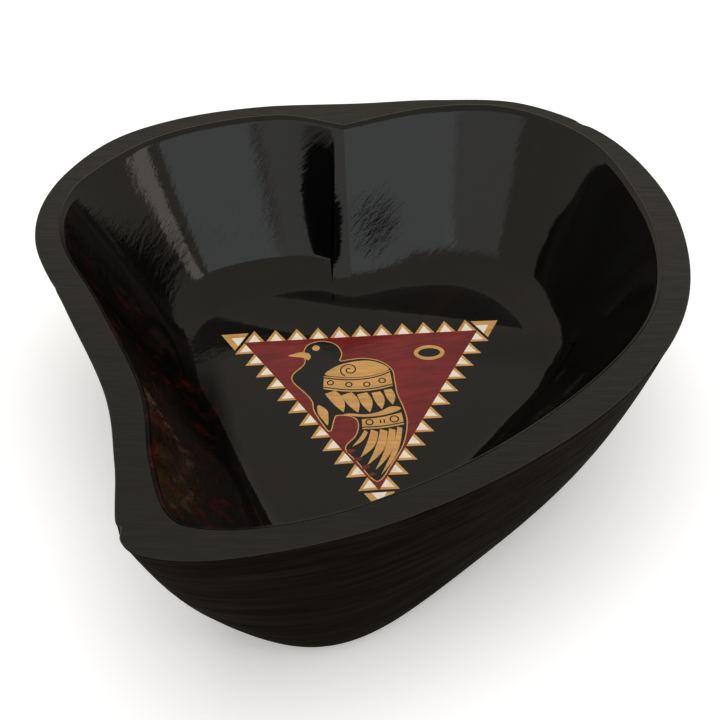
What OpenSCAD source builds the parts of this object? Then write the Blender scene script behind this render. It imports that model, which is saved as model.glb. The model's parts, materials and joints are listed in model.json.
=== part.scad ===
// Heart-shaped carved wooden bowl with a lacquered hollow and a painted bird medallion.
// Everything is in millimetres. The bowl stands on its flat base at z = 0, the rim is level.
// The lobes of the heart point to +Y with the crease between them, the tip points to -Y.

/* [Bowl] */
// overall width across the two lobes
bowl_w = 292; // [240:1:352]
// overall length from the lobes to the tip
bowl_l = 312; // [260:1:376]
// height of the rim above the table
bowl_h = 101; // [84:1:122]
// thickness of the wood and lacquer under the floor
floor_t = 25; // [21:0.5:30]
// thickness of the gloss lacquer in the hollow
lacquer_t = 0.6; // [0.4:0.1:1]

/* [Base and floor] */
// how far the outside draws in under each lobe, from the rim to the base
tuck_w = 82; // [68:1:99]
// how far the outside draws in at the tip and at the lobes
tuck_l = 50; // [41:1:60]
// how far the floor lies inside the rim at the two lobes
lean_w = 63.5; // [53:0.5:76]
// how far the floor lies inside the rim at the tip and at the lobe tops
lean_l = 70; // [58.5:0.5:84]

/* [Medallion] */
// bare floor kept outside the medallion
medallion_margin = 6; // [5:0.5:7.5]
// turn of the medallion about the upright axis
medallion_turn = 17.5; // [12:0.5:23]
// height of a border tooth
tooth_h = 8; // [6.5:0.5:9]
// width of the drawn black lines
line_w = 0.7; // [0.5:0.1:0.9]

/* [Hidden] */
// corner points of the outer rim edge, anticlockwise from the crease
RIM_OUTER = [
    [-22, 138], [-68, 124], [-106, 104], [-132, 77], [-144, 38], [-137, 0], [-107, -40],
    [-74, -83], [-57, -118], [-44, -150], [-28, -157], [3, -149], [48, -124], [92, -84],
    [126, -38], [144, 8], [145, 54], [130, 101], [99, 139], [57, 156], [16, 150]
];
// matching points of the inner rim edge, the first one is the sharp crease
RIM_INNER = [
    [-25, 117], [-58, 118], [-94, 100], [-118, 76], [-134, 38], [-125, 3], [-95, -33],
    [-61, -77], [-45, -112], [-31, -135], [-17, -140], [9, -133], [41, -114], [79, -79],
    [112, -33], [131, 11], [132, 52], [119, 93], [93, 132], [53, 150], [14, 142]
];
// matching points of the edge of the flat floor
FLOOR_LINE = [
    [-11, 77], [-29, 77], [-54, 67], [-71, 53], [-77, 29], [-63, 1], [-45, -22],
    [-24, -50], [-10, -65], [0, -73], [10, -75], [21, -73], [34, -64], [46, -48],
    [57, -23], [71, 6], [85, 36], [80, 62], [64, 85], [39, 96], [12, 89]
];
// steps between two outline points and rings down each side of the wall
curve_steps = 5;
hull_rings = 12;
hollow_rings = 12;
// middle of the flat floor and of the base
FLOOR_MID = [7, 21];
BASE_MID = [5, -20];
// turn of the base and how much wider it is towards the lobes
base_turn = 3.5;
base_egg = 0.12;
// roundness of the outside: low at the full front, high at the swept back
hull_round = 2.45;
hull_round_change = 0.4;
hull_full_side = -112;
hull_edge = 0.06;
// height of the wall at which the base blank is trimmed flat
base_blank = 2;
// middle of the medallion on the floor
MEDALLION_MID = [9, 19.2];
// side of the red triangle and the size of the floor it is drawn for
art_side = 117;
ART_FLOOR = [168, 175];

// ---------------------------------------------------------------- curves

// point between p1 and p2 on a smooth curve through four points
function curve_point(p0, p1, p2, p3, t) =
    0.5 * (2 * p1 + (p2 - p0) * t + (2 * p0 - 5 * p1 + 4 * p2 - p3) * t * t
    + (3 * p1 - p0 - 3 * p2 + p3) * t * t * t);

function turned(p, a) = [p[0] * cos(a) - p[1] * sin(a), p[0] * sin(a) + p[1] * cos(a)];

// smooth closed curve through all points
function closed_curve(k, n) = let (m = len(k)) [
    for (i = [0 : m - 1], j = [0 : n - 1])
        curve_point(k[(i + m - 1) % m], k[i], k[(i + 1) % m], k[(i + 2) % m], j / n)
];

// closed curve with one sharp corner at the first point
function creased_curve(k, n) = let (m = len(k)) [
    for (i = [0 : m - 1], j = [0 : n - 1])
        let (a = k[i], b = k[(i + 1) % m])
        curve_point(i == 0 ? 2 * a - b : k[i - 1], a, b, i == m - 1 ? 2 * b - a : k[(i + 2) % m], j / n)
];

// open smooth curve through all points
function open_curve(k, n) = let (m = len(k)) concat([
    for (i = [0 : m - 2], j = [0 : n - 1])
        let (a = k[i], b = k[i + 1])
        curve_point(i == 0 ? 2 * a - b : k[i - 1], a, b, i == m - 2 ? 2 * b - a : k[i + 2], j / n)
], [k[m - 1]]);

// anticlockwise outline moved outwards by w
function outset(p, w) = let (m = len(p)) [
    for (i = [0 : m - 1])
        let (d = p[(i + 1) % m] - p[(i + m - 1) % m])
        p[i] + w * [d[1], -d[0]] / norm(d)
];

// ---------------------------------------------------------------- bowl plan

rim_raw = closed_curve(RIM_OUTER, curve_steps);
raw_x = [for (p = rim_raw) p[0]];
raw_y = [for (p = rim_raw) p[1]];
plan_x = bowl_w / (max(raw_x) - min(raw_x));
plan_y = bowl_l / (max(raw_y) - min(raw_y));
function on_plan(p) = [
    (p[0] - (max(raw_x) + min(raw_x)) / 2) * plan_x,
    (p[1] - (max(raw_y) + min(raw_y)) / 2) * plan_y
];
rim_out = [for (p = rim_raw) on_plan(p)];
rim_in = [for (p = creased_curve(RIM_INNER, curve_steps)) on_plan(p)];
around = len(rim_out);
base_mid = on_plan(BASE_MID);

// flat floor, as wide and as long as the rim less the lean of the wall on both sides
floor_mid = on_plan(FLOOR_MID);
floor_size = [bowl_w - 2 * lean_w, bowl_l - 2 * lean_l];
floor_raw = closed_curve(FLOOR_LINE, curve_steps);
floor_raw_x = [for (p = floor_raw) p[0]];
floor_raw_y = [for (p = floor_raw) p[1]];
floor_x = floor_size[0] / (max(floor_raw_x) - min(floor_raw_x));
floor_y = floor_size[1] / (max(floor_raw_y) - min(floor_raw_y));
function on_floor(p) = floor_mid + [(p[0] - FLOOR_MID[0]) * floor_x, (p[1] - FLOOR_MID[1]) * floor_y];
floor_line = [for (p = floor_raw) on_floor(p)];

// base edge in the direction of a rim point
function base_point(p) = let (
    d = p - base_mid,
    a = atan2(d[1], d[0]) - base_turn,
    hw = bowl_w / 2 - tuck_w,
    hl = bowl_l / 2 - tuck_l,
    r = hw * hl / norm([hl * cos(a), hw * sin(a)]) * (1 + base_egg * sin(a))
) base_mid + r * d / norm(d);

// how quickly the outside rounds into the base in the direction of a rim point
function round_at(p) = let (d = p - base_mid)
    hull_round * exp(-hull_round_change * cos(atan2(d[1], d[0]) - hull_full_side));

// outside of the bowl, w runs from 1 at the rim to 0 at the base
function hull_point(p, w) = let (b = base_point(p), q = b + (p - b) * w)
    [q[0], q[1], bowl_h * ((1 - hull_edge) * pow(w, round_at(p)) + hull_edge * w)];

// section of the hollow: sloping wall, soft turn, flat floor; [run, depth] as shares
function hollow_section(t) = let (u = 1 - t)
    3 * t * u * u * [0.56, 0.75] + 3 * t * t * u * [0.76, 1] + t * t * t * [1, 1];

// face of the hollow under rim point i, t runs from 0 at the rim to 1 at the floor
function hollow_point(i, t) = let (
    s = hollow_section(t),
    q = rim_in[i] + (floor_line[i] - rim_in[i]) * s[0]
) [q[0], q[1], bowl_h - (bowl_h - floor_t) * s[1]];

hull_grid = [for (j = [0 : hull_rings]) [for (p = rim_out) hull_point(p, 1 - j / hull_rings)]];
gloss_grid = [for (j = [0 : hollow_rings]) [for (i = [0 : around - 1]) hollow_point(i, j / hollow_rings)]];

// direction into the wood at a point of the hollow
function into_wood(j, i) = let (
    along = gloss_grid[j][(i + 1) % around] - gloss_grid[j][(i + around - 1) % around],
    down = gloss_grid[min(j + 1, hollow_rings)][i] - gloss_grid[max(j - 1, 0)][i],
    n = cross(down, along)
) n / norm(n);

// the carved face lies behind the lacquer; the rim edge moves level, the floor straight down
function carved_point(j, i) = let (p = gloss_grid[j][i], n = into_wood(j, i))
    j == hollow_rings ? p - [0, 0, lacquer_t]
    : j == 0 ? p + lacquer_t * [n[0], n[1], 0] / norm([n[0], n[1]])
    : p + lacquer_t * n;

carved_grid = [for (j = [0 : hollow_rings]) [for (i = [0 : around - 1]) carved_point(j, i)]];

// ---------------------------------------------------------------- solids from rings

// triangles between ring a and the next one
function band(a) = [
    for (i = [0 : around - 1])
        let (p = a * around + i, q = a * around + (i + 1) % around)
        each [[p, q, q + around], [p, q + around, p + around]]
];

function reversed(g) = [for (j = [len(g) - 1 : -1 : 0]) g[j]];

// closed solid over a list of rings, with a flat face inside the first and the last ring
module ring_solid(rings) {
    last = (len(rings) - 1) * around;
    polyhedron(
        [for (row = rings) each row],
        concat(
            [for (j = [0 : len(rings) - 2]) each band(j)],
            [[for (i = [around - 1 : -1 : 0]) i]],
            [[for (i = [0 : around - 1]) last + i]]
        ),
        10
    );
}

// ---------------------------------------------------------------- medallion outlines

function art_fit(k) = (floor_size[k] - 2 * medallion_margin) / (ART_FLOOR[k] - 2 * medallion_margin);
art = min(art_fit(0), art_fit(1));
field_r = art_side / sqrt(3);
side_r = field_r / 2;
corner_gap = 1.2;

// [direction, number of teeth] of each side of the red triangle
TOP_SIDE = [90, 11];
LEFT_SIDE = [210, 12];
RIGHT_SIDE = [330, 12];

// bird outline, anticlockwise from the top of the head
BIRD = [
    [-20, 31.5], [-26.5, 29.5], [-29, 24], [-28.5, 18.5], [-30, 14.5], [-35, 9], [-35, 4],
    [-29.5, -4], [-26.5, -10], [-26, -16], [-22, -26], [-19.5, -29.5], [-17.5, -22.5], [-15.5, -19.5],
    [-8.5, -21], [-5.8, -25.5], [-7.5, -33.5], [-13, -41], [-8, -50], [-2.5, -60], [1.2, -61.2],
    [7, -52], [13.4, -40.5], [16.6, -27], [15.8, -17], [13.8, -8], [13.4, 1], [12.8, 9],
    [7.5, 15], [0, 17.6], [-7, 17.2], [-12, 16.8], [-10.8, 22.5], [-13.5, 28.8]
];
HALO_W = 0.55;

// wing dome, anticlockwise from its left end
DOME = [
    [-19.6, 7.8], [-12, 5.7], [-4, 5], [5, 6.2], [11.6, 9.4], [8, 13.6], [2, 16.2],
    [-5, 16], [-12, 14.2], [-17, 11.2]
];
// lines across the wing, from left to right
WING_TOP = [[-20.4, 5.4], [-12, 3.6], [-4, 3], [5, 4.2], [12, 7.2]];
WING_LOW = [[-21, -0.2], [-12, -2.5], [-4, -3.2], [5, -2.5], [12.4, -0.6]];
TRIM_W = 0.9;
// feathers as [root, point, width, bend]
WING_FEATHERS = [
    [[-18, -4.2], [-12.4, -18], 6.6, 0.9], [[-10.2, -5.8], [-5.6, -18.8], 6.6, 0.6],
    [[-2.8, -6.2], [0, -19], 6.2, 0.5], [[3.9, -5.8], [5.8, -17.4], 5.4, 0.5], [[9.7, -4.4], [11.2, -14.8], 4.8, 0.4]
];
TAIL_FEATHERS = [
    [[-2.8, -31], [-10, -40.2], 2.4, 0.9], [[1.1, -31], [-6.8, -47.2], 4.4, 1.5],
    [[5.5, -31], [-4.1, -52.2], 4.5, 1.9], [[9.5, -30.6], [-0.6, -55.4], 3.9, 2], [[13.1, -29.8], [1.8, -58.4], 3, 1.9]
];
// small red leaves beside the tail
LEAVES = [
    [[-12.6, -43.4], [-8.4, -42.6], 2.6, 0.3], [[-9.6, -48.6], [-5.6, -48], 2.4, 0.3],
    [[-6.4, -54], [-2.6, -53], 2.4, 0.3], [[-3.6, -58.8], [-0.4, -57.4], 2, 0.3]
];
// rump between wing and tail
RUMP = [
    [-12.6, -19.4], [-6, -21.3], [1, -21.8], [8, -20.8], [14.2, -18.4], [14, -16.4], [9.6, -16],
    [5.6, -18.4], [0, -20], [-5, -19.9], [-8.8, -19]
];
TAIL_TOP = [[-4.2, -23.2], [5, -22.6], [14.8, -20.2]];
TAIL_LOW = [[-4.4, -28], [5, -28], [15.2, -26.4]];
THIGH = [[-24.2, -12.4], [-24.6, -17.6], [-22.4, -22.6], [-20.4, -25.8], [-19.8, -20.4], [-20.2, -16]];
BEAK = [[-37, 22.4], [-32, 21.2], [-28.8, 20.2], [-27.4, 18.6], [-26, 20.6], [-26.6, 23.2], [-30, 24.6], [-33.6, 23.8]];
// rings drawn on the bands as [centre, inner radius]
WING_RINGS = [[[-17.4, 2.2], 1.1], [[-8.6, 0.3], 1.1], [[0, -0.2], 1.1], [[7.6, 1.8], 1.2]];
TAIL_RINGS = [[[-0.8, -25.4], 1.3], [[11, -24.2], 1.6]];
EYE = [-23, 27];
EYE_R = 1.9;
SPIRAL_MID = [-7.6, 10.4];
SUN_MID = [32.5, 19.5];
SUN_R = [7.6, 5.2];
SUN_BAND = 2.1;

// leaf shape from root to point with its middle pushed sideways by bend
function feather(f) = let (
    d = f[1] - f[0],
    side = [-d[1], d[0]] / norm(d),
    mid = [for (t = [0 : 0.125 : 1]) f[0] + d * t + side * f[3] * sin(180 * t)],
    half = [for (t = [0 : 0.125 : 1]) f[2] / 2 * (1 - pow(t, 3)) * (0.8 + 0.2 * sin(180 * t))]
) concat(
    [for (i = [0 : 7]) mid[i] - side * half[i]],
    [mid[8]],
    [for (i = [7 : -1 : 0]) mid[i] + side * half[i]]
);

// area between a lower and an upper line
function between(low, top) = concat(open_curve(low, 4), reversed(open_curve(top, 4)));

function lowered(line, d) = [for (p = line) p - [0, d]];

function ellipse(mid, r) = [for (a = [0 : 10 : 350]) mid + [r[0] * cos(a), r[1] * sin(a)]];

// spiral line of the wing, one and a half turns with an opening radius
function spiral(w) = [for (a = [0 : 20 : 560]) SPIRAL_MID + (0.5 + a / 130 + w) * [cos(a + 40), sin(a + 40)]];

bird_line = closed_curve(BIRD, 4);

module bird_shape() polygon(bird_line);

module sun_shape(inset) polygon(ellipse(SUN_MID, [SUN_R[0] - inset, SUN_R[1] - inset]));

module field_shape() polygon([for (a = [90, 210, 330]) field_r * [cos(a + 60), sin(a + 60)]]);

// one border tooth, anticlockwise from its right foot; wide is a share of the spacing
function tooth(side, i, wide, high) = let (
    pitch = art_side / side[1],
    x = (i + 0.5 - side[1] / 2) * pitch,
    half = wide * pitch / 2
) [for (p = [[x + half, side_r], [x, side_r + high], [x - half, side_r]]) turned(p, side[0] - 90)];

module teeth_shape(side, wide, high)
    for (i = [0 : side[1] - 1])
        polygon(tooth(side, i, wide, high));

// pointed pieces beyond the three corners of the triangle
module corners_shape(half, high)
    for (a = [30, 150, 270])
        rotate(a - 90)
            translate([0, field_r + corner_gap])
                polygon([[-half, 0], [half, 0], [0, high]]);

TOOTH_WIDE = 0.92;
TIP_WIDE = 0.56;
TIP_HIGH = 0.68;
CORNER_HALF = 7;
CORNER_HIGH = 11.6;

module tooth_tips_shape(side) teeth_shape(side, TIP_WIDE, tooth_h * TIP_HIGH);

module corner_tips_shape() corners_shape(CORNER_HALF * 0.5, CORNER_HIGH * 0.5);

// tan parts of the bird
module dome_shape()
    difference() {
        polygon(closed_curve(DOME, 4));
        polygon(concat(spiral(line_w / 2), reversed(spiral(-line_w / 2))));
    }

module ring_cuts(rings)
    for (r = rings)
        difference() {
            polygon(ellipse(r[0], [r[1] + line_w, r[1] + line_w]));
            polygon(ellipse(r[0], [r[1], r[1]]));
        }

module wing_band_shape()
    difference() {
        polygon(between(WING_LOW, WING_TOP));
        ring_cuts(WING_RINGS);
    }

module wing_trim_shape() {
    polygon(between(lowered(WING_TOP, -line_w - 0.1), lowered(WING_TOP, -line_w - TRIM_W)));
    polygon(between(lowered(WING_LOW, line_w + TRIM_W), lowered(WING_LOW, line_w)));
}

module feathers_shape(list)
    for (f = list)
        polygon(feather(f));

module tail_band_shape()
    difference() {
        polygon(between(TAIL_LOW, TAIL_TOP));
        ring_cuts(TAIL_RINGS);
        for (x = [4.4, 6.2])
            translate([x, -25.2])
                square([line_w, 2.2], center = true);
    }

module tail_trim_shape() polygon(between(lowered(TAIL_LOW, line_w + TRIM_W), lowered(TAIL_LOW, line_w)));

module beak_shape() polygon(closed_curve(BEAK, 3));

module eye_shape() polygon(ellipse(EYE, [EYE_R, EYE_R]));

module tan_shapes() {
    dome_shape();
    wing_band_shape();
    wing_trim_shape();
    feathers_shape(WING_FEATHERS);
    polygon(closed_curve(RUMP, 3));
    tail_band_shape();
    tail_trim_shape();
    feathers_shape(TAIL_FEATHERS);
    polygon(closed_curve(THIGH, 4));
    beak_shape();
    eye_shape();
}

// outline of the triangle with its teeth, anticlockwise from the right corner
function pocket_line() = [
    for (side = [TOP_SIDE, LEFT_SIDE, RIGHT_SIDE]) each concat(
        [turned([field_r, 0], side[0] - 60)],
        [for (i = [side[1] - 1 : -1 : 0]) each tooth(side, i, TOOTH_WIDE, tooth_h)]
    )
];

// whole pocket of the medallion
module medallion_shape() {
    polygon(pocket_line());
    corners_shape(CORNER_HALF, CORNER_HIGH);
}

// lays a flat shape into the lacquer of the floor, its face level with the lacquer
module inlaid(extra = 0)
    translate([on_floor(MEDALLION_MID)[0], on_floor(MEDALLION_MID)[1], floor_t - lacquer_t - extra])
        rotate(medallion_turn)
            linear_extrude(lacquer_t + 2 * extra)
                scale(art)
                    children();

// ---------------------------------------------------------------- sub-parts

WOOD = [0.16, 0.14, 0.13];
LACQUER = [0.04, 0.04, 0.045];
RED = [0.55, 0.1, 0.12];
TAN = [0.82, 0.62, 0.38];
CREAM = [0.95, 0.9, 0.8];
BLACK = [0.06, 0.06, 0.07];

// the carved bowl: hull, rim and hollow from one block of wood
module bowl_body()
    color(WOOD)
        difference() {
            ring_solid(concat(
                reversed(carved_grid),
                hull_grid,
                [[for (p = hull_grid[hull_rings]) p - [0, 0, base_blank]]]
            ));
            translate([-bowl_w, -bowl_l, -2 * base_blank])
                cube([2 * bowl_w, 2 * bowl_l, 2 * base_blank]);
        }

// gloss coat over the whole hollow, left open where the medallion lies
module lacquer_lining()
    color(LACQUER)
        difference() {
            ring_solid(concat(reversed(gloss_grid), carved_grid));
            inlaid(1) medallion_shape();
        }

module red_field()
    color(RED)
        inlaid() {
            difference() {
                field_shape();
                polygon(outset(bird_line, HALO_W));
                beak_shape();
                sun_shape(0);
            }
            feathers_shape(LEAVES);
        }

module bird_halo()
    color(TAN)
        inlaid()
            difference() {
                polygon(outset(bird_line, HALO_W));
                bird_shape();
                beak_shape();
                feathers_shape(LEAVES);
            }

module bird_body()
    color(BLACK)
        inlaid()
            difference() {
                bird_shape();
                tan_shapes();
                feathers_shape(LEAVES);
            }

module bird_eye() color(TAN) inlaid() eye_shape();

module bird_beak() color(TAN) inlaid() beak_shape();

module wing_shoulder() color(TAN) inlaid() dome_shape();

module wing_band() color(TAN) inlaid() wing_band_shape();

module wing_trim() color(TAN) inlaid() wing_trim_shape();

module wing_feathers() color(TAN) inlaid() feathers_shape(WING_FEATHERS);

module bird_rump() color(TAN) inlaid() polygon(closed_curve(RUMP, 3));

module tail_band() color(TAN) inlaid() tail_band_shape();

module tail_trim() color(TAN) inlaid() tail_trim_shape();

module tail_feathers() color(TAN) inlaid() feathers_shape(TAIL_FEATHERS);

module bird_thigh() color(TAN) inlaid() polygon(closed_curve(THIGH, 4));

module sun_ring()
    color(TAN)
        inlaid()
            difference() {
                sun_shape(0);
                sun_shape(SUN_BAND);
            }

module sun_disc() color(BLACK) inlaid() sun_shape(SUN_BAND);

module tan_teeth(side)
    color(TAN)
        inlaid()
            difference() {
                teeth_shape(side, TOOTH_WIDE, tooth_h);
                tooth_tips_shape(side);
            }

module teeth_top() tan_teeth(TOP_SIDE);

module teeth_left() tan_teeth(LEFT_SIDE);

module teeth_right() tan_teeth(RIGHT_SIDE);

module tips_top() color(CREAM) inlaid() tooth_tips_shape(TOP_SIDE);

module tips_left() color(CREAM) inlaid() tooth_tips_shape(LEFT_SIDE);

module tips_right() color(CREAM) inlaid() tooth_tips_shape(RIGHT_SIDE);

module corner_pieces()
    color(TAN)
        inlaid()
            difference() {
                corners_shape(CORNER_HALF, CORNER_HIGH);
                corner_tips_shape();
            }

module corner_tips() color(CREAM) inlaid() corner_tips_shape();

bowl_body();
lacquer_lining();
red_field();
bird_halo();
bird_body();
bird_eye();
bird_beak();
wing_shoulder();
wing_band();
wing_trim();
wing_feathers();
bird_rump();
tail_band();
tail_trim();
tail_feathers();
bird_thigh();
sun_ring();
sun_disc();
teeth_top();
teeth_left();
teeth_right();
tips_top();
tips_left();
tips_right();
corner_pieces();
corner_tips();
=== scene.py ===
"""Looks of the heart-shaped carved wooden bowl: matte stained wood, a gloss lacquered hollow and an inlaid
bird medallion. The outlines and profiles are the same as in the solid model, with finer steps, softened
edges and the marks of hand work. They are worked out in millimetres and made in metres, and the bowl stands
on z = 0 with its lobes towards +Y and its tip towards -Y."""

import json
import math

import bmesh
import bpy
import numpy as np
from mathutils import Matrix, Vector, noise


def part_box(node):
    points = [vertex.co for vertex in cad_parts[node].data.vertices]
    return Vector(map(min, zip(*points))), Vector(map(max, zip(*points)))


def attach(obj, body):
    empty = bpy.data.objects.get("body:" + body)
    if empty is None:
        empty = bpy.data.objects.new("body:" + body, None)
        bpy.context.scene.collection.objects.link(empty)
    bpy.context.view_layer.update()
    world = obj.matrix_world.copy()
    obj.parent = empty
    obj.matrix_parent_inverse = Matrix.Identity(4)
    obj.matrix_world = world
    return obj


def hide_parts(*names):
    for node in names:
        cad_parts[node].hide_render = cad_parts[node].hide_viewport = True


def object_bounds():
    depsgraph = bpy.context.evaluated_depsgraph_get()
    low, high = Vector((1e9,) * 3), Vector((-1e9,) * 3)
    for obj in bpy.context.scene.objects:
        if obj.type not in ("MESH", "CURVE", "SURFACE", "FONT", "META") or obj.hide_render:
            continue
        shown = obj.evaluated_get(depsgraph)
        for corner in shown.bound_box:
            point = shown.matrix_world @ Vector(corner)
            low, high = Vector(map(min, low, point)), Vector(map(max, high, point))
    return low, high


bl_info = {
    "name": "Carved Heart Bowl",
    "version": (1, 0, 0),
    "blender": (4, 5, 0),
    "location": "View3D > Sidebar > Bowl",
    "description": "Builds a heart-shaped carved bowl with a lacquered hollow and a bird medallion",
    "category": "Object",
}

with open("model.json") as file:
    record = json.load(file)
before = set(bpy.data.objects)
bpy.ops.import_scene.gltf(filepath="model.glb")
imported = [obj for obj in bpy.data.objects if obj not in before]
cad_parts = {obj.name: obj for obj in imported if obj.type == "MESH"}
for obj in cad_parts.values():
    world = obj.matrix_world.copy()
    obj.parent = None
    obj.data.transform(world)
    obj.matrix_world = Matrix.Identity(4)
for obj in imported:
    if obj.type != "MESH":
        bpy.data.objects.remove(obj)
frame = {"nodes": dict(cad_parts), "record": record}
cad_box = [list(map(float, corner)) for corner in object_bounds()]

MM = 0.001

# ---------------------------------------------------------------- shape of the bowl, in millimetres

# corner points of the outer rim edge, anticlockwise from the crease
RIM_OUTER = [
    (-22, 138), (-68, 124), (-106, 104), (-132, 77), (-144, 38), (-137, 0), (-107, -40),
    (-74, -83), (-57, -118), (-44, -150), (-28, -157), (3, -149), (48, -124), (92, -84),
    (126, -38), (144, 8), (145, 54), (130, 101), (99, 139), (57, 156), (16, 150),
]
# matching points of the inner rim edge, the first one is the sharp crease
RIM_INNER = [
    (-25, 117), (-58, 118), (-94, 100), (-118, 76), (-134, 38), (-125, 3), (-95, -33),
    (-61, -77), (-45, -112), (-31, -135), (-17, -140), (9, -133), (41, -114), (79, -79),
    (112, -33), (131, 11), (132, 52), (119, 93), (93, 132), (53, 150), (14, 142),
]
# matching points of the edge of the flat floor
FLOOR_LINE = [
    (-11, 77), (-29, 77), (-54, 67), (-71, 53), (-77, 29), (-63, 1), (-45, -22),
    (-24, -50), (-10, -65), (0, -73), (10, -75), (21, -73), (34, -64), (46, -48),
    (57, -23), (71, 6), (85, 36), (80, 62), (64, 85), (39, 96), (12, 89),
]
FLOOR_MID = (7, 21)
BASE_MID = (5, -20)
# how far the base and the floor lie inside the rim, across and along the bowl
TUCK = (82, 50)
LEAN = (63.5, 70)
# turn of the oval base in degrees, and how much wider it is towards the lobes
BASE_TURN = 3.5
BASE_EGG = 0.12
# roundness of the outside, how much it changes round the bowl, and the angle in degrees where it is least
HULL_ROUND = 2.45
HULL_ROUND_CHANGE = 0.4
HULL_STRAIGHT_SIDE = -112
# share of the height that rises evenly, so that the base has a clear edge
HULL_EDGE = 0.06
# the two bends of the hollow from rim to floor, as shares of the way in and of the way down
HOLLOW_BENDS = ((0.56, 0.75), (0.76, 1))
LACQUER = 0.6
# the lacquer under the medallion lies this much lower, so that the inlays show on top
UNDER_INLAYS = 0.03
# small nicks in the outer rim edge: x, y and depth
NICKS = ((62, -116, 1.4), (-47, -147, 1.2), (137, -19, 0.8), (-118, -25, 0.8), (88, 146, 0.7))
NICK_WIDTH = 2.6
# the crease of the hollow: where it would meet z = 0, and how far it moves to -X for each mm up
CREASE_X = -23.5
CREASE_SLANT = 0.08
# the wood grain runs across the bowl, turned a little from the X axis
GRAIN_TURN = math.radians(13)
# point of the rim plane that the camera looks at
VIEW_POINT = (19.9, -42.6)


class SCENE_PG_bowl_shape(bpy.types.PropertyGroup):
    """Fine shape of the carved and lacquered surfaces"""

    rim_round: bpy.props.FloatProperty(
        name="Rim Edge Radius", description="Rounding of the worn rim edges", default=1.1 * MM,
        min=0.2 * MM, max=2 * MM, unit="LENGTH")
    tool_marks: bpy.props.FloatProperty(
        name="Tool Marks", description="Depth of the gouge marks on the outside", default=0.22 * MM,
        min=0, max=0.6 * MM, unit="LENGTH")
    gloss_wave: bpy.props.FloatProperty(
        name="Lacquer Waves", description="Height of the slow waves in the lacquer", default=0.16 * MM,
        min=0, max=0.5 * MM, unit="LENGTH")
    steps: bpy.props.IntProperty(
        name="Outline Steps", description="Steps between two outline points", default=22, min=6, max=40)


class SCENE_PG_bowl_colours(bpy.types.PropertyGroup):
    """Colours of the wood, the lacquer and the medallion"""

    rim: bpy.props.FloatVectorProperty(
        name="Rim", description="Sanded grey-black wood of the rim", subtype="COLOR",
        default=(0.030, 0.0285, 0.026), min=0, max=1)
    hull: bpy.props.FloatVectorProperty(
        name="Hull", description="Stained brown-black wood outside", subtype="COLOR",
        default=(0.0052, 0.0038, 0.0020), min=0, max=1)
    worn_hull: bpy.props.FloatVectorProperty(
        name="Worn Hull", description="Browner wood on the high places of the tool marks", subtype="COLOR",
        default=(0.018, 0.013, 0.007), min=0, max=1)
    lacquer: bpy.props.FloatVectorProperty(
        name="Lacquer", description="Black lacquer", subtype="COLOR", default=(0.0012, 0.0011, 0.0012),
        min=0, max=1)
    undertone: bpy.props.FloatVectorProperty(
        name="Undertone", description="Red-brown wood that shows through the lacquer", subtype="COLOR",
        default=(0.042, 0.0045, 0.003), min=0, max=1)
    red: bpy.props.FloatVectorProperty(
        name="Red Paint", description="Field of the medallion", subtype="COLOR",
        default=(0.205, 0.015, 0.015), min=0, max=1)
    bare: bpy.props.FloatVectorProperty(
        name="Bare Wood", description="Tan wood of the bird and the teeth", subtype="COLOR",
        default=(0.66, 0.36, 0.115), min=0, max=1)
    cream: bpy.props.FloatVectorProperty(
        name="Cream Paint", description="Tips of the border teeth", subtype="COLOR",
        default=(0.95, 0.88, 0.74), min=0, max=1)
    black: bpy.props.FloatVectorProperty(
        name="Black Paint", description="Body of the bird", subtype="COLOR",
        default=(0.004, 0.004, 0.004), min=0, max=1)


class SCENE_PG_bowl_stage(bpy.types.PropertyGroup):
    """Camera and lights"""

    lens: bpy.props.FloatProperty(name="Lens", description="Focal length", default=70, min=20, max=200)
    distance: bpy.props.FloatProperty(
        name="Distance", description="From the camera to the point it looks at", default=0.5645, min=0.2,
        max=3, unit="LENGTH")
    azimuth: bpy.props.FloatProperty(
        name="Azimuth", description="Turn of the view about the upright axis", default=math.radians(13),
        unit="ROTATION")
    elevation: bpy.props.FloatProperty(
        name="Elevation", description="Height of the view above the horizon", default=math.radians(44),
        unit="ROTATION")
    room: bpy.props.FloatProperty(
        name="Room", description="Brightness of the room", default=0.45, min=0, max=5)
    ceiling: bpy.props.FloatProperty(
        name="Ceiling", description="Power of the broad light overhead", default=25, min=0,
        max=200, unit="POWER")
    window: bpy.props.FloatProperty(
        name="Wide Window", description="Power of the window in front of the tip", default=4.2, min=0,
        max=200, unit="POWER")
    side: bpy.props.FloatProperty(
        name="Side Window", description="Power of the window at the right", default=4.6, min=0, max=200,
        unit="POWER")
    door: bpy.props.FloatProperty(
        name="Door", description="Power of the narrow warm light at the right", default=2.2, min=0,
        max=200, unit="POWER")


# ---------------------------------------------------------------- curves and profiles


def curve(points, places, creased=False):
    """Smooth closed curve through the points at the given places, counted in points from the first one."""
    k = np.array(points, float)
    n = len(k)
    i = np.floor(places).astype(int) % n
    t = (places - np.floor(places))[:, None]
    before, here, after, beyond = k[(i - 1) % n], k[i], k[(i + 1) % n], k[(i + 2) % n]
    if creased:
        first, last = (i == 0)[:, None], (i == n - 1)[:, None]
        before = np.where(first, 2 * here - after, before)
        beyond = np.where(last, 2 * after - here, beyond)
    return 0.5 * (
        2 * here + (after - before) * t + (2 * before - 5 * here + 4 * after - beyond) * t ** 2
        + (3 * here - before - 3 * after + beyond) * t ** 3
    )


def outline_places(steps):
    """Even steps round the rim, packed closer beside the crease."""
    n = len(RIM_OUTER)
    even = np.arange(steps, (n - 1) * steps + 1) / steps
    packed = (np.arange(1, steps) / steps) ** 1.7
    return np.concatenate([[0], packed, even, (n - packed)[::-1]])


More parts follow.
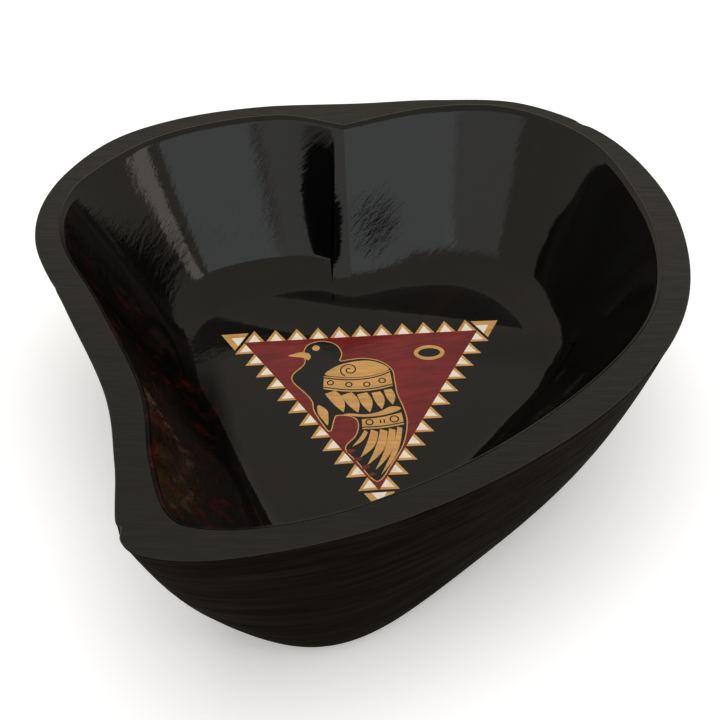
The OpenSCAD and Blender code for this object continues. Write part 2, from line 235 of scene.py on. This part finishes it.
class BowlPlan:
    """Rim, base and floor outlines fitted to the box of the solid model."""

    def __init__(self, steps):
        low, high = np.array(cad_box) / MM
        self.height = high[2]
        coarse = curve(RIM_OUTER, np.arange(0, len(RIM_OUTER), 0.2))
        self.scale = (high - low)[:2] / (coarse.max(0) - coarse.min(0))
        self.shift = (coarse.max(0) + coarse.min(0)) / 2
        self.size = (high - low)[:2]
        places = outline_places(steps)
        self.outer = np.clip(self.on_plan(curve(RIM_OUTER, places)), low[:2], high[:2])
        self.inner = self.on_plan(curve(RIM_INNER, places, creased=True))
        self.floor_mid = self.on_plan(np.array(FLOOR_MID, float))
        raw = curve(FLOOR_LINE, np.arange(0, len(FLOOR_LINE), 0.2))
        floor_scale = (self.size - 2 * np.array(LEAN)) / (raw.max(0) - raw.min(0))
        self.floor_line = self.floor_mid + (curve(FLOOR_LINE, places) - FLOOR_MID) * floor_scale
        self.base_mid = self.on_plan(np.array(BASE_MID, float))
        self.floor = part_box("red_field")[1][2] / MM
        self.count = len(places)

    def on_plan(self, points):
        return (points - self.shift) * self.scale

    def hull(self, share):
        """Ring of the outside, share 1 at the rim and 0 at the base."""
        d = self.outer - self.base_mid
        angle = np.degrees(np.arctan2(d[:, 1], d[:, 0]))
        turned = np.radians(angle - BASE_TURN)
        half = self.size / 2 - TUCK
        reach = half[0] * half[1] / np.hypot(half[1] * np.cos(turned), half[0] * np.sin(turned))
        reach = reach * (1 + BASE_EGG * np.sin(turned))
        base = self.base_mid + reach[:, None] * d / np.linalg.norm(d, axis=1)[:, None]
        roundness = HULL_ROUND * np.exp(-HULL_ROUND_CHANGE * np.cos(np.radians(angle - HULL_STRAIGHT_SIDE)))
        z = self.height * ((1 - HULL_EDGE) * share ** roundness + HULL_EDGE * share)
        return np.column_stack([base + (self.outer - base) * share, z])

    def hollow(self, t):
        """Ring of the lacquered hollow, t 0 at the rim and 1 at the edge of the floor."""
        u = 1 - t
        upper, lower = HOLLOW_BENDS
        run, sink = (3 * t * u * u * a + 3 * t * t * u * b + t ** 3 for a, b in zip(upper, lower))
        flat = self.inner + (self.floor_line - self.inner) * run
        depth = self.height - self.floor
        return np.column_stack([flat, np.full(self.count, self.height - depth * sink)])


def ring_normals(grid):
    """Normals of a stack of rings, pointing to the right of the walk down the stack."""
    along = np.roll(grid, -1, 1) - np.roll(grid, 1, 1)
    down = np.gradient(grid, axis=0)
    n = np.cross(down, along)
    return n / np.maximum(np.linalg.norm(n, axis=2, keepdims=True), 1e-9)


def into_wood(hollow):
    """Directions from the lacquer into the wood: level at the rim and straight down at the floor."""
    n = ring_normals(hollow)
    n[0, :, 2] = 0
    n[0] /= np.linalg.norm(n[0], axis=1, keepdims=True)
    n[-1] = (0, 0, -1)
    return n


def wave(points, size, seed):
    """Smooth noise from -1 to 1 at each point; size is the spacing of its waves along x, y and z in mm."""
    shape = points.shape[:-1]
    flat = points.reshape(-1, 3) / np.array(size, float) + seed
    return np.array([noise.noise(Vector(p)) for p in flat]).reshape(shape)


def ring_mesh(name, grid, cap_first=False, cap_last=False):
    """Mesh over a stack of rings in mm, with the two end rings filled if asked."""
    rows, count = grid.shape[:2]
    verts = [tuple(p) for p in (grid.reshape(-1, 3) * MM)]
    faces = []
    for j in range(rows - 1):
        for i in range(count):
            a, b = j * count + i, j * count + (i + 1) % count
            faces.append((a, a + count, b + count, b))
    for wanted, row, turn in ((cap_first, 0, 1), (cap_last, rows - 1, -1)):
        if wanted:
            faces.append(tuple(row * count + i for i in range(count))[::turn])
    mesh = bpy.data.meshes.new(name)
    mesh.from_pydata(verts, [], faces)
    mesh.validate()
    bm = bmesh.new()
    bm.from_mesh(mesh)
    bmesh.ops.recalc_face_normals(bm, faces=bm.faces)
    bm.to_mesh(mesh)
    bm.free()
    mesh.polygons.foreach_set("use_smooth", [True] * len(mesh.polygons))
    return mesh


def add_piece(name, mesh, replaced):
    """Links a mesh as a piece of the bowl that stands for one node of the solid model."""
    piece = bpy.data.objects.new(name, mesh)
    bpy.context.collection.objects.link(piece)
    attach(piece, "root")
    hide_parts(replaced)
    return piece


# ---------------------------------------------------------------- materials


def live(sockets, name):
    """The socket of that name that is in use."""
    return next(s for s in sockets if s.name == name and s.enabled)


class Finish:
    """A material in the making: a principled shader with a few short ways to add nodes."""

    def __init__(self, name):
        self.material = bpy.data.materials.new(name)
        self.material.use_nodes = True
        self.nodes = self.material.node_tree.nodes
        self.links = self.material.node_tree.links
        self.shader = self.nodes["Principled BSDF"]
        self.place = self.add("ShaderNodeTexCoord").outputs["Object"]

    def add(self, kind, **settings):
        node = self.nodes.new(kind)
        for key, value in settings.items():
            setattr(node, key, value)
        return node

    def set(self, **values):
        for key, value in values.items():
            self.shader.inputs[key.replace("_", " ")].default_value = value

    def link(self, source, target):
        self.links.new(source, target)

    def stretched(self, scale, turn, lean):
        """Object coordinates turned about Z and leaned about Y, with the scale in waves per metre."""
        node = self.add("ShaderNodeMapping", vector_type="TEXTURE")
        node.inputs["Rotation"].default_value = (0, lean, turn)
        node.inputs["Scale"].default_value = tuple(1 / k for k in scale)
        self.link(self.place, node.inputs["Vector"])
        return node.outputs["Vector"]

    def noise(self, scale, detail=4, rough=0.55, twist=0, turn=GRAIN_TURN, lean=0):
        """Noise from 0 to 1, drawn out along the axes that have fewer waves per metre."""
        node = self.add("ShaderNodeTexNoise")
        node.inputs["Scale"].default_value = 1
        node.inputs["Detail"].default_value = detail
        node.inputs["Roughness"].default_value = rough
        node.inputs["Distortion"].default_value = twist
        self.link(self.stretched(scale, turn, lean), node.inputs["Vector"])
        return node.outputs["Fac"]

    def along(self, axis):
        """Object coordinate along one axis."""
        node = self.add("ShaderNodeSeparateXYZ")
        self.link(self.place, node.inputs["Vector"])
        return node.outputs[axis]

    def ramp(self, value, low, high, start=0.0, end=1.0):
        """Smooth step of a value from start to end as it passes from low to high."""
        node = self.add("ShaderNodeMapRange", interpolation_type="SMOOTHSTEP")
        node.inputs["From Min"].default_value = low
        node.inputs["From Max"].default_value = high
        node.inputs["To Min"].default_value = start
        node.inputs["To Max"].default_value = end
        self.link(value, node.inputs["Value"])
        return node.outputs["Result"]

    def math(self, operation, a, b):
        """One sum of two values; each is a number or a socket."""
        node = self.add("ShaderNodeMath", operation=operation)
        for socket, value in zip(node.inputs, (a, b)):
            if isinstance(value, (int, float)):
                socket.default_value = value
            else:
                self.link(value, socket)
        return node.outputs["Value"]

    def mix(self, factor, a, b):
        """Colour between a and b; each is a colour or a socket."""
        node = self.add("ShaderNodeMix", data_type="RGBA")
        for key, value in (("Factor", factor), ("A", a), ("B", b)):
            socket = live(node.inputs, key)
            if isinstance(value, (int, float)):
                socket.default_value = value
            elif isinstance(value, bpy.types.NodeSocket):
                self.link(value, socket)
            else:
                socket.default_value = (*value, 1)
        return live(node.outputs, "Result")

    def colour(self, socket):
        self.link(socket, self.shader.inputs["Base Color"])

    def rough(self, socket):
        self.link(socket, self.shader.inputs["Roughness"])

    def bump(self, height, strength, distance, coat=False, under=None):
        """Relief from a height, on top of the relief under it, and in the gloss coat too if asked."""
        node = self.add("ShaderNodeBump")
        node.inputs["Strength"].default_value = strength
        node.inputs["Distance"].default_value = distance
        self.link(height, node.inputs["Height"])
        if under is not None:
            self.link(under, node.inputs["Normal"])
        self.link(node.outputs["Normal"], self.shader.inputs["Normal"])
        if coat:
            self.link(node.outputs["Normal"], self.shader.inputs["Coat Normal"])
        return node.outputs["Normal"]


def darker(colour, share):
    """The colour times a share; a share over 1 makes it lighter."""
    return tuple(c * share for c in colour)


def rim_wood(colours):
    """Sanded charcoal wood with fine scratches across the rim, and painted shade that darkens it towards the
    tip.
    """
    f = Finish("rim_wood")
    grain = f.noise((60, 900, 900), detail=6, rough=0.65)
    patches = f.noise((18, 30, 30), detail=3)
    scratches = f.ramp(f.noise((25, 1500, 1500), detail=3, rough=0.7), 0.62, 0.75)
    tone = f.mix(f.ramp(grain, 0.3, 0.72), darker(colours.rim, 0.72), darker(colours.rim, 1.12))
    tone = f.mix(f.ramp(patches, 0.35, 0.7, 0, 0.35), tone, darker(colours.rim, 0.8))
    tone = f.mix(f.math("MULTIPLY", scratches, 0.3), tone, darker(colours.rim, 2.0))
    # painted shade: the rim colour is made darker towards the tip, standing in for the weaker sheen on that
    # side
    rim_painted_shade_to_tip = f.ramp(f.along("Y"), -130 * MM, 130 * MM, 0.62, -0.1)
    f.colour(f.mix(rim_painted_shade_to_tip, tone, darker(colours.rim, 0.3)))
    f.rough(f.ramp(grain, 0.3, 0.7, 0.66, 0.52))
    f.set(Specular_IOR_Level=0.22)
    f.bump(grain, 0.35, 0.3 * MM)
    return f.material


def hull_wood(colours):
    """Stained brown-black wood with level tool marks and a few fine cracks."""
    f = Finish("hull_wood")
    grain = f.noise((14, 60, 420), detail=6, rough=0.62, twist=0.4)
    marks = f.noise((22, 22, 240), detail=2)
    cracks = f.ramp(f.noise((9, 9, 500), detail=3, rough=0.6, twist=0.2), 0.7, 0.76)
    tone = f.mix(f.ramp(grain, 0.3, 0.75), darker(colours.hull, 0.65), darker(colours.hull, 1.5))
    tone = f.mix(f.ramp(marks, 0.55, 0.8, 0, 0.4), tone, colours.worn_hull)
    tone = f.mix(cracks, tone, darker(colours.hull, 0.2))
    f.colour(tone)
    f.rough(f.ramp(grain, 0.3, 0.75, 0.8, 0.62))
    f.set(Specular_IOR_Level=0.01)
    height = f.math("ADD", f.math("MULTIPLY", marks, 0.6), f.math("MULTIPLY", grain, 0.4))
    f.bump(f.math("SUBTRACT", height, f.math("MULTIPLY", cracks, 0.5)), 0.5, 0.5 * MM)
    return f.material


def lean_of_walls(f):
    """Height that leans the right back wall and the foot of the whole back wall a few degrees upwards."""
    off_crease = f.math("ADD", f.along("X"), f.math("MULTIPLY", f.along("Z"), CREASE_SLANT))
    crease = CREASE_X * MM
    right_lobe = f.math("MULTIPLY", f.ramp(off_crease, crease - 1 * MM, crease + 1 * MM),
                        f.ramp(off_crease, crease + 100 * MM, crease + 40 * MM))
    leaning = f.math("MAXIMUM", right_lobe, f.ramp(f.along("Z"), 38 * MM, 27 * MM))
    back_wall = f.math("MULTIPLY", leaning, f.ramp(f.along("Y"), 45 * MM, 75 * MM))
    return f.math("MULTIPLY", f.math("SUBTRACT", 95 * MM, f.along("Z")), f.math("MULTIPLY", back_wall, 0.07))


def black_lacquer(colours):
    """Deep gloss black with fine slanting brush marks, thin on the side wall by the tip, where red-brown wood
    glows through in streaks."""
    f = Finish("black_lacquer")
    streaks = f.noise((120, 34, 60), detail=7, rough=0.7, twist=0.8, turn=math.radians(-20))
    from_wall = f.math("ADD", f.along("X"), f.math("MULTIPLY", f.along("Y"), 0.47))
    thin = f.math("MULTIPLY", f.ramp(from_wall, -52 * MM, -64 * MM),
                  f.ramp(f.along("Y"), 35 * MM, -10 * MM))
    glow = f.math("MULTIPLY", f.ramp(streaks, 0.5, 0.72), f.math("ADD", thin, 0.06))
    f.colour(f.mix(glow, colours.lacquer, colours.undertone))
    f.set(Specular_IOR_Level=0.04, Coat_Weight=1.0, Coat_Roughness=0.04, Coat_IOR=1.5)
    f.link(f.math("SUBTRACT", 1.0, f.math("MULTIPLY", thin, 0.8)), f.shader.inputs["Coat Weight"])
    f.rough(f.ramp(streaks, 0.3, 0.7, 0.3, 0.5))
    brushed = f.noise((360, 160, 45), detail=4, rough=0.6, twist=0.3, turn=0, lean=math.radians(40))
    slow = f.noise((12, 20, 16), detail=2)
    leaned = f.bump(lean_of_walls(f), 1.0, 1.0, coat=True)
    waved = f.bump(slow, 0.22, 3.0 * MM, coat=True, under=leaned)
    f.bump(brushed, 0.22, 0.5 * MM, coat=True, under=waved)
    return f.material


def under_lacquer(name, tone):
    """Starts a paint or bare wood finish that lies under the gloss."""
    f = Finish(name)
    f.set(Specular_IOR_Level=0.04, Coat_Weight=1.0, Coat_Roughness=0.05, Coat_IOR=1.5)
    f.tone = tone
    return f


def finish_gloss(f):
    """Fine waves in the gloss over the medallion."""
    f.bump(f.noise((45, 520, 420), detail=4, rough=0.6), 0.15, 0.3 * MM, coat=True)
    return f.material


def red_paint(colours):
    """Brushed dark red paint with thin and thick places."""
    f = under_lacquer("red_paint", colours.red)
    brush = f.noise((60, 420, 420), detail=5, rough=0.6, turn=math.radians(25))
    cloud = f.noise((55, 55, 55), detail=3)
    tone = f.mix(f.ramp(brush, 0.35, 0.7), darker(f.tone, 0.72), darker(f.tone, 1.15))
    f.colour(f.mix(f.ramp(cloud, 0.4, 0.68, 0, 0.55), tone, darker(f.tone, 0.55)))
    f.rough(f.ramp(brush, 0.3, 0.7, 0.35, 0.5))
    return finish_gloss(f)


def bare_wood(colours):
    """Tan wood with fine grain and scorched spots."""
    f = under_lacquer("bare_wood", colours.bare)
    grain = f.noise((70, 900, 900), detail=6, rough=0.65, twist=0.4)
    scorch = f.noise((140, 160, 160), detail=4, rough=0.6)
    tone = f.mix(f.ramp(grain, 0.3, 0.7), darker(f.tone, 0.78), darker(f.tone, 1.15))
    f.colour(f.mix(f.ramp(scorch, 0.56, 0.78, 0, 0.6), tone, darker(f.tone, 0.45)))
    f.rough(f.ramp(grain, 0.3, 0.7, 0.4, 0.55))
    return finish_gloss(f)


def cream_paint(colours):
    """Chalky cream paint, a little worn."""
    f = under_lacquer("cream_paint", colours.cream)
    wear = f.noise((260, 300, 300), detail=5, rough=0.65)
    f.colour(f.mix(f.ramp(wear, 0.5, 0.78, 0, 0.7), f.tone, darker(colours.bare, 1.15)))
    f.rough(f.ramp(wear, 0.3, 0.7, 0.4, 0.55))
    return finish_gloss(f)


def black_paint(colours):
    """Black paint with faint brush streaks."""
    f = under_lacquer("black_paint", colours.black)
    brush = f.noise((60, 500, 500), detail=5, rough=0.6)
    f.colour(f.mix(f.ramp(brush, 0.35, 0.7), darker(f.tone, 0.7), darker(f.tone, 1.4)))
    f.rough(f.ramp(brush, 0.3, 0.7, 0.3, 0.45))
    return finish_gloss(f)


# ---------------------------------------------------------------- operators


class OBJECT_OT_carve_wood(bpy.types.Operator):
    """Carve the wooden bowl: hull with tool marks, rounded rim and flat base"""

    bl_idname = "bowl.carve_wood"
    bl_label = "Carve Wood"

    def execute(self, context):
        shape = context.scene.bowl_shape
        plan = BowlPlan(shape.steps)
        radius = shape.rim_round / MM
        hull = np.array([plan.hull(s) for s in np.linspace(1, 0, 56)])
        hull = self.tool_marked(hull, shape.tool_marks / MM)
        hollow = np.array([plan.hollow(t) for t in np.linspace(0, 1, 28)])
        carved = hollow + into_wood(hollow) * LACQUER
        rim = self.rim_rings(plan, carved[0], hull[0], radius)
        # the first rings of the outside follow the rounded rim edge
        hull[0] = rim[-1]
        blend = np.clip((hull[1, :, 2] - (plan.height - radius)) / radius, 0, 1)
        hull[1, :, 2] -= blend * radius * 0.5
        grid = np.concatenate([carved[:0:-1], rim[:-1], hull])
        mesh = ring_mesh("bowl_wood", grid, cap_first=True, cap_last=True)
        colours = context.scene.bowl_colours
        mesh.materials.append(hull_wood(colours))
        mesh.materials.append(rim_wood(colours))
        # the faces of the rim have their own finish
        first = (len(carved) - 1) * plan.count
        last = first + (len(rim) - 2) * plan.count
        for k in range(first, last):
            mesh.polygons[k].material_index = 1
        add_piece("bowl_wood", mesh, "bowl_body")
        return {"FINISHED"}

    @staticmethod
    def tool_marked(hull, depth):
        """Shallow level gouges that fade out at the rim and the base."""
        inwards = -ring_normals(hull)
        marks = wave(hull, (46, 46, 5), 3.1) * 0.6 + wave(hull, (17, 17, 9), 8.7) * 0.4
        share = np.linspace(0, 1, len(hull))[:, None]
        fade = np.sin(np.pi * share) ** 0.5
        depth_here = depth * (0.5 + 0.5 * marks) * fade
        middle = np.array([0, 0, hull[..., 2].max() / 2])
        sign = np.sign(((middle - hull) * inwards).sum(2).mean())
        return hull + inwards * sign * depth_here[..., None]

    @staticmethod
    def rim_rings(plan, inner, outer, radius):
        """Flat rim between its two rounded edges, with the wear and small nicks of use."""
        width = np.linalg.norm(outer[:, :2] - inner[:, :2], axis=1)
        worn = radius * (1 + 0.35 * wave(outer, (35, 35, 35), 5.5))
        nick = np.zeros(plan.count)
        for x, y, size in NICKS:
            gap = np.hypot(outer[:, 0] - x, outer[:, 1] - y)
            nick += size * np.exp(-(gap / NICK_WIDTH) ** 2)
        rings = []
        for share in (0, 0.15, 0.5, 1):
            d = share * 0.5 * radius
            drop = 0.5 * radius * (1 - math.sqrt(1 - (1 - share) ** 2))
            rings.append(np.column_stack([inner[:, :2] + (outer - inner)[:, :2] * (d / width)[:, None],
                                          np.full(plan.count, plan.height - drop)]))
        for across in (0.2, 0.4, 0.6, 0.8):
            flat = inner[:, :2] + (outer - inner)[:, :2] * across
            level = np.column_stack([flat, np.zeros(plan.count)])
            dip = 0.12 * (0.5 + 0.5 * wave(level, (28, 28, 28), 2.2))
            rings.append(np.column_stack([flat, plan.height - dip]))
        for share in (1, 0.6, 0.3, 0.1, 0):
            d = share * worn + nick
            drop = worn * (1 - np.sqrt(1 - (1 - share) ** 2)) + nick * (1 - share)
            back = (d + nick * 0.3) / width
            rings.append(np.column_stack([outer[:, :2] - (outer - inner)[:, :2] * back[:, None],
                                          plan.height - drop]))
        return np.array(rings)


class OBJECT_OT_pour_lacquer(bpy.types.Operator):
    """Coat the hollow with gloss lacquer, softly waved by the brush"""

    bl_idname = "bowl.pour_lacquer"
    bl_label = "Pour Lacquer"

    def execute(self, context):
        shape = context.scene.bowl_shape
        plan = BowlPlan(shape.steps)
        steps = np.concatenate([np.linspace(0, 0.55, 30), np.linspace(0.57, 1, 34)])
        gloss = np.array([plan.hollow(t) for t in steps])
        inwards = into_wood(gloss)
        carved = gloss + inwards * LACQUER
        # the waves fade out at the rim and at the floor
        fade = np.clip(steps / 0.12, 0, 1) * np.clip((1 - steps) / 0.2, 0, 1)
        waves = wave(gloss, (42, 30, 60), 1.3) * 0.6 + wave(gloss, (20, 14, 34), 6.4) * 0.4
        depth = shape.gloss_wave / MM * (0.5 + 0.5 * waves) * fade[:, None]
        gloss = gloss + inwards * depth[..., None]
        # lacquer runs into the crease and softens it a little
        gloss[:, 0] = (gloss[:, 0] * 2 + gloss[:, 1] + gloss[:, -1]) / 4
        middle = np.array([*plan.floor_mid, plan.floor])
        floor = np.array([gloss[-1] + (middle - gloss[-1]) * share for share in (0.03, 0.12, 0.3, 0.6)])
        floor[..., 2] = plan.floor - UNDER_INLAYS
        grid = np.concatenate([floor[::-1], gloss[::-1], carved])
        mesh = ring_mesh("gloss_lacquer", grid, cap_first=True, cap_last=True)
        mesh.materials.append(black_lacquer(context.scene.bowl_colours))
        add_piece("gloss_lacquer", mesh, "lacquer_lining")
        return {"FINISHED"}


class OBJECT_OT_paint_medallion(bpy.types.Operator):
    """Give every inlay of the medallion its paint or bare wood finish"""

    bl_idname = "bowl.paint_medallion"
    bl_label = "Paint Medallion"

    def execute(self, context):
        colours = context.scene.bowl_colours
        finishes = {
            "red_paint": red_paint(colours),
            "bare_wood": bare_wood(colours),
            "cream_paint": cream_paint(colours),
            "black_paint": black_paint(colours),
        }
        for entry in frame["record"]["subparts"]:
            finish = finishes.get(entry["material_slot"])
            if finish is None:
                continue
            inlay = frame["nodes"][entry["node"]]
            for slot in inlay.material_slots:
                slot.material = finish
            if not inlay.material_slots:
                inlay.data.materials.append(finish)
        return {"FINISHED"}


class OBJECT_OT_set_stage(bpy.types.Operator):
    """Lay the pale floor, set the lights and the camera"""

    bl_idname = "bowl.set_stage"
    bl_label = "Set Stage"

    def execute(self, context):
        stage = context.scene.bowl_stage
        self.lay_floor()
        self.light_room(context, stage)
        self.place_camera(context, stage)
        return {"FINISHED"}

    @staticmethod
    def lay_floor():
        mesh = bpy.data.meshes.new("pale_floor")
        half = 60
        corners = [(-half, -half, 0), (half, -half, 0), (half, half, 0), (-half, half, 0)]
        mesh.from_pydata(corners, [], [(0, 1, 2, 3)])
        floor = bpy.data.objects.new("pale_floor", mesh)
        floor.location.z = -0.2 * MM
        bpy.context.collection.objects.link(floor)
        f = Finish("pale_floor")
        f.set(Base_Color=(0.94, 0.96, 1, 1), Roughness=0.9, Specular_IOR_Level=0.1)
        f.set(Emission_Color=(1, 1, 1, 1), Emission_Strength=0.3)
        mesh.materials.append(f.material)

    def light_room(self, context, stage):
        world = bpy.data.worlds.new("room")
        world.use_nodes = True
        back = world.node_tree.nodes["Background"]
        back.inputs["Color"].default_value = (1, 0.92, 0.80, 1)
        back.inputs["Strength"].default_value = stage.room
        context.scene.world = world
        context.scene.view_settings.view_transform = "Standard"
        aim = (0, 0, 0.06)
        for name, power, size, place, tint in (
            ("wide_window", stage.window, (2.4, 1.5), self.around(179, 2.2, 1.05), (0.86, 0.93, 1)),
            ("side_window", stage.side, (1.6, 1.3), self.around(-131, 2.2, 0.9), (0.82, 0.91, 1)),
            ("door", stage.door, (0.42, 1.3), self.around(-96, 2.2, 0.8), (1, 0.93, 0.82)),
        ):
            self.panel(name, power, size, place, aim, tint)
        ceiling = self.panel("ceiling", stage.ceiling, (2, 2), (0, 0, 2), aim, (1, 0.99, 0.97))
        ceiling.visible_glossy = False

    @staticmethod
    def around(angle, reach, height):
        """Place at a level distance from the bowl, the angle counted anticlockwise from the lobes."""
        turn = math.radians(angle)
        return (-math.sin(turn) * reach, math.cos(turn) * reach, height)

    @staticmethod
    def panel(name, power, size, place, aim, tint):
        """Soft rectangular light aimed at a point."""
        data = bpy.data.lights.new(name, "AREA")
        data.shape = "RECTANGLE"
        data.size, data.size_y = size
        data.energy = power
        data.color = tint
        light = bpy.data.objects.new(name, data)
        light.location = place
        light.rotation_euler = (Vector(aim) - Vector(place)).to_track_quat("-Z", "Y").to_euler()
        bpy.context.collection.objects.link(light)
        return light

    @staticmethod
    def place_camera(context, stage):
        data = bpy.data.cameras.new("camera")
        data.lens = stage.lens
        data.sensor_width = 36
        camera = bpy.data.objects.new("camera", data)
        plan = BowlPlan(1)
        target = Vector((*(plan.on_plan(np.array(VIEW_POINT)) * MM), plan.height * MM))
        level = math.cos(stage.elevation)
        look = Vector((-math.sin(stage.azimuth) * level, math.cos(stage.azimuth) * level,
                       -math.sin(stage.elevation)))
        camera.location = target - look * stage.distance
        camera.rotation_euler = look.to_track_quat("-Z", "Y").to_euler()
        context.collection.objects.link(camera)
        context.scene.camera = camera


class VIEW3D_PT_bowl(bpy.types.Panel):
    """Sizes, colours and steps of the bowl"""

    bl_label = "Carved Heart Bowl"
    bl_space_type = "VIEW_3D"
    bl_region_type = "UI"
    bl_category = "Bowl"

    def draw(self, context):
        layout = self.layout
        for group in (context.scene.bowl_shape, context.scene.bowl_colours, context.scene.bowl_stage):
            box = layout.box()
            for name in group.bl_rna.properties.keys():
                if name not in ("rna_type", "name"):
                    box.prop(group, name)
        for step in STEPS:
            layout.operator(step.bl_idname)


STEPS = (OBJECT_OT_carve_wood, OBJECT_OT_pour_lacquer, OBJECT_OT_paint_medallion, OBJECT_OT_set_stage)
CLASSES = (SCENE_PG_bowl_shape, SCENE_PG_bowl_colours, SCENE_PG_bowl_stage, *STEPS, VIEW3D_PT_bowl)


def register():
    for cls in CLASSES:
        bpy.utils.register_class(cls)
    bpy.types.Scene.bowl_shape = bpy.props.PointerProperty(type=SCENE_PG_bowl_shape)
    bpy.types.Scene.bowl_colours = bpy.props.PointerProperty(type=SCENE_PG_bowl_colours)
    bpy.types.Scene.bowl_stage = bpy.props.PointerProperty(type=SCENE_PG_bowl_stage)


def unregister():
    del bpy.types.Scene.bowl_stage
    del bpy.types.Scene.bowl_colours
    del bpy.types.Scene.bowl_shape
    for cls in reversed(CLASSES):
        bpy.utils.unregister_class(cls)


def main():
    register()
    bpy.ops.bowl.carve_wood()
    bpy.ops.bowl.pour_lacquer()
    bpy.ops.bowl.paint_medallion()
    bpy.ops.bowl.set_stage()


if __name__ == "__main__":
    main()
